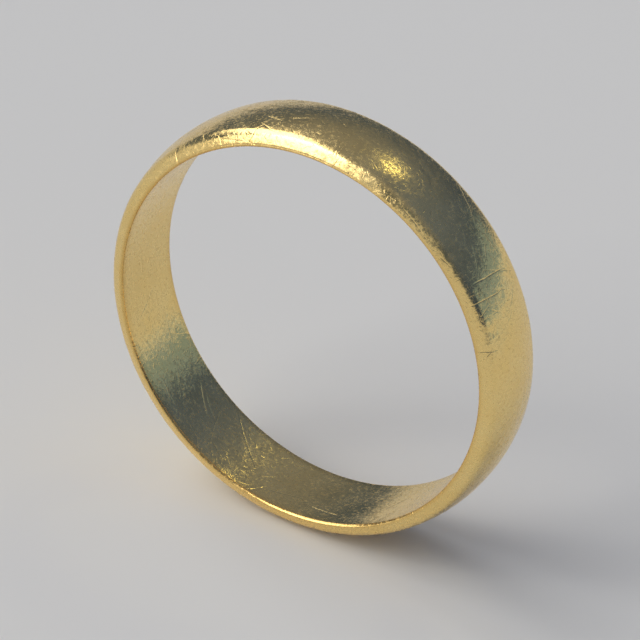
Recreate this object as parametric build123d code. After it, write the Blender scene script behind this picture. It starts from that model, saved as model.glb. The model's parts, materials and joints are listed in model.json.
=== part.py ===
"""Plain half-round (D-shape) wedding band: one solid ring of yellow gold.

The ring stands upright, as it does in a ring pad or on a stand. Its axis, the line of the finger, is
the Y axis, and +Z is up. The origin is the centre of the bore. The front side wall faces -Y and the
back one +Y. All sizes are in millimetres.

The section is a flat bore, two side walls and a domed outside. Each side wall is flat only beside the
bore, where the ring rests when it lies on its side. Above that flat it leans in, and it meets the dome
at a broad shoulder, because wear has rounded the ring's outer corners.
"""

import math
import os

from build123d import *

# Driving dimensions
INSIDE_DIAMETER = 18.2  # the finger size: about UK P 1/2, US 8
BAND_WIDTH = 3.9  # along the finger, from one side wall to the other
CROWN_THICKNESS = 0.95  # from the bore to the top of the dome, at mid width
DOME_RADIUS = 5.6  # of the dome's arc in the section
BORE_EDGE_RADIUS = 0.12  # softened edge where the bore meets a side wall
FLAT_HEIGHT = 0.05  # of the side wall's flat, above the bore's softened edge
WALL_LEAN = 23  # degrees that the rest of the side wall leans in
SHOULDER_RADIUS = 0.50  # rounded shoulder where a side wall meets the dome

# Worked out from them
BORE_RADIUS = INSIDE_DIAMETER / 2
HALF_WIDTH = BAND_WIDTH / 2
FLAT_END = BORE_RADIUS + BORE_EDGE_RADIUS + FLAT_HEIGHT  # from the ring's axis
CROWN_DISTANCE = BORE_RADIUS + CROWN_THICKNESS  # from the ring's axis


def half_round_section():
    """The band's section on the +X side of the ring's axis, with X as radius and Y as width."""
    past_crown = CROWN_DISTANCE + CROWN_THICKNESS
    narrowed = HALF_WIDTH - (past_crown - FLAT_END) * math.tan(math.radians(WALL_LEAN))
    between_walls = Polygon(
        (BORE_RADIUS, -HALF_WIDTH),
        (FLAT_END, -HALF_WIDTH),
        (past_crown, -narrowed),
        (past_crown, narrowed),
        (FLAT_END, HALF_WIDTH),
        (BORE_RADIUS, HALF_WIDTH),
        align=None,
    )
    under_dome = Pos(CROWN_DISTANCE - DOME_RADIUS, 0) * Circle(DOME_RADIUS)
    section = between_walls & under_dome
    bore_corners = section.vertices().sort_by(Axis.X)[:2]
    section = fillet(bore_corners, BORE_EDGE_RADIUS)
    shoulder_corners = section.vertices().sort_by(Axis.X)[-2:]
    return fillet(shoulder_corners, SHOULDER_RADIUS)


def band():
    """The whole ring: its section turned once round the ring's axis."""
    return revolve(half_round_section(), Axis.Y, 360)


os.makedirs("parts", exist_ok=True)
export_step(band(), "parts/band.step")
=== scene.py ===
"""Looks of the wedding band: a worn half-round ring of yellow gold, standing on its rim on a pale floor.

The ring is turned again from the CAD's section, finely enough to hold real wear: shoulders and a dome that are
not quite even, and small dents. Its material adds what is too fine for the mesh: scratches of every length, pits,
grain and a patchy polish. Lengths are in metres unless a name ends in _MM.
"""

import json
import math

import bpy
import numpy as np
from mathutils import Matrix, Vector, noise


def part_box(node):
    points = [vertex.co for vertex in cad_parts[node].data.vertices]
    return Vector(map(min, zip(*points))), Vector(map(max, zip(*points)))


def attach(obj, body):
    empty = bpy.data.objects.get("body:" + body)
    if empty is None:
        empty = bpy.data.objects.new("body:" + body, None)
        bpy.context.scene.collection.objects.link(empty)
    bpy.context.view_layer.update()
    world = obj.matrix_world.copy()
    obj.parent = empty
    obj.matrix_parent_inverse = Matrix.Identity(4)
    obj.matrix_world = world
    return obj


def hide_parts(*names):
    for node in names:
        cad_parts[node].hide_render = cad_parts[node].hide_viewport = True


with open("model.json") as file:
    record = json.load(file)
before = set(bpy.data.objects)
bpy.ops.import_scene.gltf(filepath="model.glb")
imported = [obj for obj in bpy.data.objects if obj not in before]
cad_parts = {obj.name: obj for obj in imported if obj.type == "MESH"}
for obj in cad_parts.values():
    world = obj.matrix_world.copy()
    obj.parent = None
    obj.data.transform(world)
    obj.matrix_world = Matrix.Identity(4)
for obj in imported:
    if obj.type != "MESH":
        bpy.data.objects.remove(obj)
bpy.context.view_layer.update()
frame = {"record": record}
MM = 0.001

# The band, from the frame: its box, and the bore that its record states
LOW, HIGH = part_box("band")
CENTRE = (LOW + HIGH) / 2
CROWN_RADIUS = (HIGH.z - LOW.z) / 2
HALF_WIDTH = (HIGH.y - LOW.y) / 2
BORE = next(mount for mount in frame["record"]["mounts"] if mount["name"] == "finger_bore")
BORE_RADIUS = BORE["dims"]["r_mm"] * MM

# The rest of the section, as the CAD has it
DOME_RADIUS = 5.6 * MM
BORE_EDGE_RADIUS = 0.12 * MM
FLAT_HEIGHT = 0.05 * MM
WALL_LEAN = math.radians(23)
SHOULDER_RADIUS = 0.50 * MM

# Mesh fineness: steps round the ring, and steps on each half of the section
STEPS_AROUND = 780
BORE_STEPS = 6
BORE_EDGE_STEPS = 6
FLAT_STEPS = 2
WALL_STEPS = 5
SHOULDER_STEPS = 10
DOME_STEPS = 35

# The ring unrolls into strips of equal length, one above the other on the square that its textures fill
STRIPS = 3
STRIP_MARGIN = 0.006

# Wear of the outside, in the mesh
SEED = 11
EVEN_LOSS = 0.008 * MM
UNEVENNESS = 0.006 * MM
UNEVENNESS_WAVES = (2.2 * MM, 0.7 * MM)
SHOULDER_UNEVENNESS = 0.012 * MM
SHOULDER_WAVES = (4.0 * MM, 0.9 * MM)
SHOULDER_REACH = 0.25 * MM
FINER_WAVE = 0.5  # how deep the finer of two waves is, against the broader one
UNEVENNESS_PLACE, SHOULDER_PLACE = 41.7, 3.1  # where in the noise each is read, so that they differ
DENTS = 420
DENT_SIZES = (0.05 * MM, 0.30 * MM)
DENT_SIZE_BIAS = 1.6  # above 1, small dents outnumber large ones
DENT_STRETCH = 1.5  # a dent may be longer than it is wide by up to this share
DENT_DEPTH = 0.06  # of its size
DENT_RIM = 0.25  # how far its rim is raised
DENT_REACH = 3.0  # how many sizes away a dent still shows

# Wear in the material: lengths, half widths, and how far the sides of each mark tilt the surface
HAZE_LENGTHS_MM = (0.20, 0.30, 0.45, 0.70)
HAZE_WIDTH_MM = 0.022
HAZE_TILT = 0.33
HAZE_SHARE = 1.0  # of the places that could have such a scratch
SCRATCH_LENGTHS_MM = (1.3, 2.0, 3.2)
SCRATCH_WIDTH_MM = 0.024
SCRATCH_TILT = 0.80
SCRATCH_SHARE = 0.7
SCRATCH_ENDS = (0.35, 0.60)  # where a scratch starts to fade and where it is gone, in lengths from its middle
SCRATCH_PLACE = 53  # how many lengths the pattern is moved by, which settles where the scratches fall
PIT_SPACING_MM = 0.31
PIT_SIDES = (0.05, 0.26)  # where a pit's side starts and ends, in spacings from its middle
PIT_TILT = 0.50
GRAIN_PER_MM = 6.0
GRAIN_TILT = 0.20

# Patches of worn polish and dull spots: how many to a millimetre, and the noise that they start and end at
PATCHES_PER_MM, PATCH_RANGE = 0.7, (0.30, 0.70)
SPOTS_PER_MM, SPOT_RANGE = 7.0, (0.52, 0.66)

# Roughness: of the best polish, and what each kind of wear adds at most
POLISH = 0.15
PATCH_ROUGHNESS = 0.09
SIDE_WALL_ROUGHNESS = 0.06
SPOT_ROUGHNESS = 0.15
HAZE_ROUGHNESS = 0.06
SIDE_WALL_SHARPNESS = 8  # how closely that roughness keeps to the side walls

# Painted shade and darkening: how strong the painted amber shade line is at the bore's edges, how much darker the
# pits are painted, and how far from the bore's corners the shade line reaches
PAINTED_EDGE_SHADE = 0.70
PIT_DARKENING = 0.25
EDGE_SHADE_REACH = 0.14 * MM

# The camera, where the photograph was taken from: round the ring, above it, and how far the picture leans
CAMERA_AZIMUTH = 29.2
CAMERA_ELEVATION = 32.8
CAMERA_ROLL = math.radians(4.8)
CAMERA_DISTANCE = 0.200
SENSOR_WIDTH_MM = 36.0
VIEW_WIDTH = 0.028  # what the picture's width takes in at the ring
NEAREST, FARTHEST = 0.01, 10

# Colours, and the room's light
PALE_GOLD = (0.960, 0.720, 0.300)
DEEP_GOLD = (0.950, 0.685, 0.260)
AMBER_GOLD = (0.700, 0.420, 0.110)
FLOOR_GREY = (0.740, 0.724, 0.674)
HORIZON = (0.541, 0.541, 0.543)
WALLS = (0.050, 0.080, 0.150)
CEILING = (0.235, 0.250, 0.310)
DARK_SIDE = (0.50, 0.64, 0.95)  # what is left of the room's light there
DAYLIGHT = (1.00, 0.98, 0.95)
LAMPLIGHT = (1.00, 0.95, 0.48)
COOL_LIGHT = (0.55, 0.78, 1.00)

# The room: heights are sines of elevations, and nearness is the cosine of the angle from the dark side's middle
HORIZON_HEIGHTS = (0.02, 0.09)  # where the horizon's light starts to give way to the walls', and where it is gone
CEILING_HEIGHTS = (0.09, 0.90)  # where the walls start to give way to the ceiling, and where they are gone
DARK_SIDE_AT = (110, 20)  # azimuth and elevation, in degrees
DARK_SIDE_NEARNESS = (0.05, 0.85)  # where the dark side starts, and where it is darkest
FLOOR_REACH = 3.0

# The lights: azimuth, elevation, width and height in degrees, radiance, and colour
SOFTBOX_DISTANCE = 60.0
SOFTBOXES = {
    "window": (-78, 46, 56, 38, 2.6, DAYLIGHT),
    "front": (-32.5, 28, 30, 52, 3.3, DAYLIGHT),
    "lamp": (174, 56, 5.5, 3.5, 7.6, LAMPLIGHT),
    "fill": (130, 10, 64, 18, 0.32, COOL_LIGHT),
}


# ---------------------------------------------------------------- the section

def arc(centre, radius, start, end, steps):
    """Points on an arc of the section, leaving out its last one. Angle 0 points away from the finger."""
    angles = np.linspace(start, end, steps, endpoint=False)
    out, across = np.cos(angles), np.sin(angles)
    return np.stack([centre[0] + radius * out, centre[1] + radius * across, out, across], axis=1)


def line(start, end, normal, steps):
    """Points on a straight stretch of the section, leaving out its last one."""
    share = np.linspace(0, 1, steps, endpoint=False)[:, None]
    points = np.array(start) * (1 - share) + np.array(end) * share
    return np.hstack([points, np.tile(normal, (steps, 1))])


def section():
    """The band's whole section, in order round it: rows of radius, width and outward normal."""
    dome_centre = np.array((CROWN_RADIUS - DOME_RADIUS, 0))
    edge_centre = np.array((BORE_RADIUS + BORE_EDGE_RADIUS, HALF_WIDTH - BORE_EDGE_RADIUS))
    flat_start = np.array((edge_centre[0], HALF_WIDTH))
    flat_end = flat_start + (FLAT_HEIGHT, 0)
    wall_normal = np.array((math.sin(WALL_LEAN), math.cos(WALL_LEAN)))
    up_wall = np.array((math.cos(WALL_LEAN), -math.sin(WALL_LEAN)))
    # The shoulder rounds off the corner: its centre is one shoulder radius inside the wall, and inside the dome
    inside_wall = flat_end - wall_normal * SHOULDER_RADIUS
    beside = np.dot(dome_centre - inside_wall, up_wall)
    apart = np.dot(dome_centre - inside_wall, wall_normal)
    shoulder_centre = inside_wall + up_wall * (beside + math.sqrt((DOME_RADIUS - SHOULDER_RADIUS) ** 2 - apart**2))
    wall_end = shoulder_centre + wall_normal * SHOULDER_RADIUS
    wall_turn = math.pi / 2 - WALL_LEAN
    dome_turn = math.atan2(shoulder_centre[1], shoulder_centre[0] - dome_centre[0])
    half = np.vstack([
        line((BORE_RADIUS, 0), (BORE_RADIUS, edge_centre[1]), (-1, 0), BORE_STEPS),
        arc(edge_centre, BORE_EDGE_RADIUS, math.pi, math.pi / 2, BORE_EDGE_STEPS),
        line(flat_start, flat_end, (0, 1), FLAT_STEPS),
        line(flat_end, wall_end, wall_normal, WALL_STEPS),
        arc(shoulder_centre, SHOULDER_RADIUS, wall_turn, dome_turn, SHOULDER_STEPS),
        arc(dome_centre, DOME_RADIUS, dome_turn, 0, DOME_STEPS),
    ])
    crown = np.array([[CROWN_RADIUS, 0, 1, 0]])
    other_half = half[:0:-1] * (1, -1, 1, -1)
    return np.vstack([half, crown, other_half])


def lengths_along(rows):
    """How far along the section each point is from the first, and then the length of the way round."""
    closed = np.vstack([rows, rows[:1]])
    steps = np.hypot(np.diff(closed[:, 0]), np.diff(closed[:, 1]))
    return np.concatenate([[0], np.cumsum(steps)])


# ---------------------------------------------------------------- the wear

def smooth_noise(places, wave, offset):
    """Noise from -1 to 1 at each place, with features about a wave across."""
    scaled = places.reshape(-1, 3) / wave + offset
    return np.array([noise.noise(Vector(p)) for p in scaled]).reshape(places.shape[:-1])


def dents(angles, along, outside):
    """Depth of small random dents on the outside, at each step and row. Each has a slightly raised rim."""
    rng = np.random.default_rng(SEED)
    depth = np.zeros((len(angles), len(along)))
    first, last = along[outside][[0, -1]]
    for _ in range(DENTS):
        size = DENT_SIZES[0] * (DENT_SIZES[1] / DENT_SIZES[0]) ** (rng.random() ** DENT_SIZE_BIAS)
        stretch = 1 + DENT_STRETCH * rng.random()
        turn = rng.random() * math.pi
        round_ring = (angles - rng.random() * 2 * math.pi) % (2 * math.pi) - math.pi
        up_section = along - (first + (last - first) * rng.random())
        reach = DENT_REACH * size * stretch
        steps = np.flatnonzero(np.abs(round_ring) * CROWN_RADIUS < reach)
        rows = np.flatnonzero(np.abs(up_section) < reach)
        x = round_ring[steps, None] * CROWN_RADIUS
        y = up_section[None, rows]
        u = (x * math.cos(turn) + y * math.sin(turn)) / (size * stretch)
        v = (y * math.cos(turn) - x * math.sin(turn)) / size
        squared = u**2 + v**2
        depth[np.ix_(steps, rows)] += DENT_DEPTH * size * (1 - DENT_RIM * squared) * np.exp(-squared)
    return depth * outside


def wear(places, rows, angles):
    """How far the surface has worn inwards at each step and row."""
    along = lengths_along(rows)[:-1]
    outside = rows[:, 0] > BORE_RADIUS + BORE_EDGE_RADIUS
    to_shoulder = [along - along[np.argmax(rows[:, 2] * side * rows[:, 3])] for side in (1, -1)]
    near_shoulder = sum(np.exp(-((away / SHOULDER_REACH) ** 2)) for away in to_shoulder)
    broad, fine = (smooth_noise(places, wave, SHOULDER_PLACE + wave / MM) for wave in SHOULDER_WAVES)
    rolling, rippled = (smooth_noise(places, wave, UNEVENNESS_PLACE + wave / MM) for wave in UNEVENNESS_WAVES)
    loss = EVEN_LOSS + UNEVENNESS * (rolling + FINER_WAVE * rippled)
    loss += SHOULDER_UNEVENNESS * near_shoulder * (1 + broad + FINER_WAVE * fine)
    return loss * outside + dents(angles, along, outside)


# ---------------------------------------------------------------- the mesh

def turned(rows, angles):
    """Places and normals of the section turned round the ring's axis, as two arrays of step, row, xyz."""
    cosine, sine = np.cos(angles)[:, None], np.sin(angles)[:, None]
    radius, width, out, across = rows.T
    shape = (len(angles), len(rows))
    places = np.stack([radius * cosine, np.broadcast_to(width, shape), radius * sine], axis=2)
    normals = np.stack([out * cosine, np.broadcast_to(across, shape), out * sine], axis=2)
    return places, normals


def unroll(mesh, rows):
    """The layout for the baked textures: the ring cut into strips, one above the other."""
    along = lengths_along(rows) / lengths_along(rows)[-1]
    steps = np.arange(STEPS_AROUND)
    strip, step = np.divmod(steps, STEPS_AROUND // STRIPS)
    room = 1 - 2 * STRIP_MARGIN
    u_start = STRIP_MARGIN + room * step * STRIPS / STEPS_AROUND
    u_end = u_start + room * STRIPS / STEPS_AROUND
    v_rows = STRIP_MARGIN + room * along
    u = np.stack([u_start, u_end, u_end, u_start], axis=1)[:, None, :]
    v = np.stack([v_rows[:-1], v_rows[:-1], v_rows[1:], v_rows[1:]], axis=1)[None]
    u, v = np.broadcast_arrays(u, (v + strip[:, None, None]) / STRIPS)
    layout = mesh.uv_layers.new(name="OFBake")
    layout.uv.foreach_set("vector", np.stack([u, v], axis=3).astype(np.float32).ravel())


def paint(mesh, name, values):
    """A value for each row of the section, which the material reads by name."""
    layer = mesh.attributes.new(name, "FLOAT", "POINT")
    layer.data.foreach_set("value", np.tile(values, STEPS_AROUND).astype(np.float32))


def make_band():
    """The worn ring, as one closed mesh."""
    rows = section()
    angles = np.linspace(0, 2 * math.pi, STEPS_AROUND, endpoint=False) - math.pi / 2
    places, normals = turned(rows, angles)
    places -= normals * wear(places, rows, angles)[..., None]
    index = np.arange(STEPS_AROUND * len(rows)).reshape(STEPS_AROUND, len(rows))
    onward = np.roll(index, -1, axis=0)
    faces = np.stack([index, onward, np.roll(onward, -1, axis=1), np.roll(index, -1, axis=1)], axis=2)
    mesh = bpy.data.meshes.new("worn_band")
    mesh.from_pydata(places.reshape(-1, 3), [], faces.reshape(-1, 4))
    mesh.shade_smooth()
    unroll(mesh, rows)
    inner_corner = np.array((BORE_RADIUS, HALF_WIDTH))
    from_corner = np.hypot(rows[:, 0] - inner_corner[0], np.abs(rows[:, 1]) - inner_corner[1])
    paint(mesh, "side_wall", np.abs(rows[:, 3]) ** SIDE_WALL_SHARPNESS)
    # Where the material paints its amber shade line: near the bore's corners
    paint(mesh, "bore_edge", np.exp(-((from_corner / EDGE_SHADE_REACH) ** 2)))
    band = bpy.data.objects.new("worn_band", mesh)
    bpy.context.scene.collection.objects.link(band)
    return band


# ---------------------------------------------------------------- the gold

class Nodes:
    """A short way to build a node tree."""

    def __init__(self, tree):
        self.tree = tree

    def add(self, kind, inputs=(), **settings):
        node = self.tree.nodes.new("ShaderNode" + kind)
        for name, value in settings.items():
            setattr(node, name, value)
        for key, value in dict(inputs).items():
            self.give(node.inputs[key], value)
        return node

    def give(self, socket, value):
        if isinstance(value, bpy.types.NodeSocket):
            self.tree.links.new(value, socket)
        else:
            socket.default_value = value

    def maths(self, operation, *values):
        return self.add("Math", enumerate(values), operation=operation).outputs[0]

    def vector(self, operation, *values, out=0, **named):
        return self.add("VectorMath", {**dict(enumerate(values)), **named}, operation=operation).outputs[out]

    def total(self, first, second):
        return self.maths("ADD", first, second)

    def tilt(self, normal, way, strength):
        return self.vector("MULTIPLY_ADD", way, (strength,) * 3, normal)

    def weighted(self, weight, value, plus=0.0):
        return self.maths("MULTIPLY_ADD", value, weight, plus)

    def ranged(self, value, low, high, to_low=0.0, to_high=1.0, **settings):
        inputs = {"Value": value, "From Min": low, "From Max": high, "To Min": to_low, "To Max": to_high}
        return self.add("MapRange", inputs, **settings).outputs[0]

    def mix(self, share, first, second, **settings):
        """A mix of two colours, whose sockets on the node are inputs 6 and 7 and output 2."""
        node = self.add("Mix", {"Factor": share}, data_type="RGBA", **settings)
        self.give(node.inputs[6], first)
        self.give(node.inputs[7], second)
        return node.outputs[2]

    def noise(self, place, scale, detail):
        return self.add("TexNoise", {"Vector": place, "Scale": scale, "Detail": detail}).outputs[0]

    def painted(self, name):
        return self.add("Attribute", attribute_name=name).outputs["Fac"]


def scratches(nodes, place, normal, length, width, share):
    """Straight random scratches in the surface: how much they mark each place, and which way their sides tilt it.

    Space is split into cells about a scratch's length across, and each cell has one scratch, through its middle.
    """
    scaled = nodes.vector("SCALE", nodes.vector("ADD", place, (SCRATCH_PLACE * length,) * 3), Scale=1 / length)
    cell = nodes.add("TexVoronoi", {"Vector": scaled, "Scale": 1.0, "Randomness": 1.0})
    from_middle = nodes.vector("SUBTRACT", scaled, cell.outputs["Position"])
    random_way = nodes.vector("SUBTRACT", cell.outputs["Color"], (0.5, 0.5, 0.5))
    across = nodes.vector("NORMALIZE", nodes.vector("CROSS_PRODUCT", random_way, normal))
    away = nodes.weighted(length / width, nodes.vector("DOT_PRODUCT", from_middle, across, out="Value"))
    profile = nodes.maths("EXPONENT", nodes.weighted(-1.0, nodes.maths("MULTIPLY", away, away)))
    ends = nodes.ranged(cell.outputs["Distance"], *SCRATCH_ENDS, 1.0, 0.0)
    chance = nodes.add("SeparateColor", {"Color": cell.outputs["Color"]}).outputs[0]
    depth = nodes.ranged(chance, 1 - share, 1.0)
    marks = nodes.maths("MULTIPLY", nodes.maths("MULTIPLY", profile, ends), depth)
    return marks, nodes.vector("SCALE", across, Scale=nodes.maths("MULTIPLY", marks, away))


def pits(nodes, place):
    """Tiny round pits: how deep into one each place is, and which way its side tilts."""
    scaled = nodes.vector("SCALE", place, Scale=1 / PIT_SPACING_MM)
    cell = nodes.add("TexVoronoi", {"Vector": scaled, "Scale": 1.0, "Randomness": 1.0})
    from_middle = nodes.vector("SUBTRACT", scaled, cell.outputs["Position"])
    depth = nodes.ranged(cell.outputs["Distance"], *PIT_SIDES, 1.0, 0.0)
    return depth, nodes.vector("SCALE", from_middle, Scale=depth)


def gold():
    """Yellow gold, polished long ago: now scratched all over, pitted, and duller in patches.

    Everything that tilts the surface is added to its normal, which needs far fewer nodes than a bump does.
    """
    material = bpy.data.materials.new("worn_gold")
    material.use_nodes = True
    nodes = Nodes(material.node_tree)
    shader = material.node_tree.nodes["Principled BSDF"]
    place = nodes.vector("SCALE", nodes.add("TexCoord").outputs["Object"], Scale=1 / MM)
    normal = nodes.add("NewGeometry").outputs["Normal"]

    tilted = normal
    haze = None
    for length in HAZE_LENGTHS_MM:
        marks, tilt = scratches(nodes, place, normal, length, HAZE_WIDTH_MM, HAZE_SHARE)
        haze = marks if haze is None else nodes.total(haze, marks)
        tilted = nodes.tilt(tilted, tilt, -HAZE_TILT)
    for length in SCRATCH_LENGTHS_MM:
        _, tilt = scratches(nodes, place, normal, length, SCRATCH_WIDTH_MM, SCRATCH_SHARE)
        tilted = nodes.tilt(tilted, tilt, -SCRATCH_TILT)
    pitted, tilt = pits(nodes, place)
    tilted = nodes.tilt(tilted, tilt, -PIT_TILT)
    grain = nodes.add("TexNoise", {"Vector": place, "Scale": GRAIN_PER_MM, "Detail": 3.0}).outputs["Color"]
    tilted = nodes.tilt(tilted, nodes.vector("SUBTRACT", grain, (0.5, 0.5, 0.5)), GRAIN_TILT)
    nodes.give(shader.inputs["Normal"], nodes.vector("NORMALIZE", tilted))

    spots = nodes.ranged(nodes.noise(place, SPOTS_PER_MM, 2.0), *SPOT_RANGE)
    patches = nodes.ranged(nodes.noise(place, PATCHES_PER_MM, 3.0), *PATCH_RANGE)
    roughness = nodes.weighted(PATCH_ROUGHNESS, patches, POLISH)
    roughness = nodes.weighted(SIDE_WALL_ROUGHNESS, nodes.painted("side_wall"), roughness)
    roughness = nodes.weighted(SPOT_ROUGHNESS, spots, roughness)
    roughness = nodes.weighted(HAZE_ROUGHNESS, haze, roughness)
    nodes.give(shader.inputs["Roughness"], roughness)

    colour = nodes.mix(patches, (*DEEP_GOLD, 1), (*PALE_GOLD, 1))
    # Painted shade: an amber line along the bore's edges, and the pits painted a little darker
    edge_shade_and_pit_darkening = nodes.weighted(PAINTED_EDGE_SHADE, nodes.painted("bore_edge"), nodes.weighted(PIT_DARKENING, pitted))
    nodes.give(shader.inputs["Base Color"], nodes.mix(edge_shade_and_pit_darkening, colour, (*AMBER_GOLD, 1)))
    shader.inputs["Metallic"].default_value = 1.0
    return material


# ---------------------------------------------------------------- the studio

def toward(azimuth, elevation):
    """The direction at an azimuth (0 is the front, -Y, and 90 the right, +X) and an elevation, in degrees."""
    turn, rise = math.radians(azimuth), math.radians(elevation)
    return Vector((math.sin(turn) * math.cos(rise), -math.cos(turn) * math.cos(rise), math.sin(rise)))


def place_in_scene(name, data, location, rotation):
    thing = bpy.data.objects.new(name, data)
    thing.location = location
    thing.rotation_mode = "QUATERNION"
    thing.rotation_quaternion = rotation
    bpy.context.scene.collection.objects.link(thing)
    return thing


def make_camera():
    """The camera at the photograph's angle, close in on the ring."""
    back = toward(CAMERA_AZIMUTH, CAMERA_ELEVATION)
    data = bpy.data.cameras.new("camera")
    data.sensor_width = SENSOR_WIDTH_MM
    data.lens = SENSOR_WIDTH_MM * CAMERA_DISTANCE / VIEW_WIDTH
    data.clip_start, data.clip_end = NEAREST, FARTHEST
    upright = (-back).to_track_quat("-Z", "Y")
    leaning = upright @ Matrix.Rotation(CAMERA_ROLL, 4, "Z").to_quaternion()
    bpy.context.scene.camera = place_in_scene("camera", data, CENTRE + back * CAMERA_DISTANCE, leaning)


def softbox(name, azimuth, elevation, width, height, radiance, colour):
    """A soft light turned to the ring. Its width and height are the angles that it fills from there, in degrees."""
    direction = toward(azimuth, elevation)
    data = bpy.data.lights.new(name, "AREA")
    data.shape = "RECTANGLE"
    data.size = 2 * SOFTBOX_DISTANCE * math.tan(math.radians(width / 2))
    data.size_y = 2 * SOFTBOX_DISTANCE * math.tan(math.radians(height / 2))
    data.energy = radiance * math.pi * data.size * data.size_y
    data.color = colour
    light = place_in_scene(name, data, CENTRE + direction * SOFTBOX_DISTANCE, direction.to_track_quat("Z", "Y"))
    light.visible_camera = False


def make_floor():
    """A plain pale floor that the ring stands on."""
    mesh = bpy.data.meshes.new("floor")
    corners = ((-1, -1), (1, -1), (1, 1), (-1, 1))
    mesh.from_pydata([(x * FLOOR_REACH, y * FLOOR_REACH, LOW.z) for x, y in corners], [], [(0, 1, 2, 3)])
    material = bpy.data.materials.new("floor")
    material.use_nodes = True
    shader = material.node_tree.nodes["Principled BSDF"]
    shader.inputs["Base Color"].default_value = (*FLOOR_GREY, 1)
    shader.inputs["Roughness"].default_value = 1.0
    shader.inputs["Specular IOR Level"].default_value = 0.0
    mesh.materials.append(material)
    floor = bpy.data.objects.new("floor", mesh)
    bpy.context.scene.collection.objects.link(floor)


def make_world():
    """A dim room: pale at the horizon, where it meets the floor, with cool walls, a paler ceiling and a dark side."""
    world = bpy.data.worlds.new("studio")
    bpy.context.scene.world = world
    world.use_nodes = True
    world.node_tree.nodes.clear()
    nodes = Nodes(world.node_tree)
    way = nodes.add("TexCoord").outputs["Generated"]
    up = nodes.add("SeparateXYZ", {0: way}).outputs["Z"]
    nearness = nodes.vector("DOT_PRODUCT", way, toward(*DARK_SIDE_AT), out="Value")
    smooth = {"interpolation_type": "SMOOTHSTEP"}
    room = nodes.mix(nodes.ranged(up, *CEILING_HEIGHTS, **smooth), (*WALLS, 1), (*CEILING, 1))
    dark = nodes.ranged(nearness, *DARK_SIDE_NEARNESS, **smooth)
    room = nodes.mix(dark, room, (*DARK_SIDE, 1), blend_type="MULTIPLY")
    colour = nodes.mix(nodes.ranged(up, *HORIZON_HEIGHTS, **smooth), (*HORIZON, 1), room)
    background = nodes.add("Background", {0: colour})
    nodes.add("OutputWorld", {0: background.outputs[0]})


make_camera()
band = make_band()
band.data.materials.append(gold())
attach(band, "root")
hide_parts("band")

make_floor()
make_world()
for name, settings in SOFTBOXES.items():
    softbox(name, *settings)
bpy.context.scene.view_settings.view_transform = "Standard"
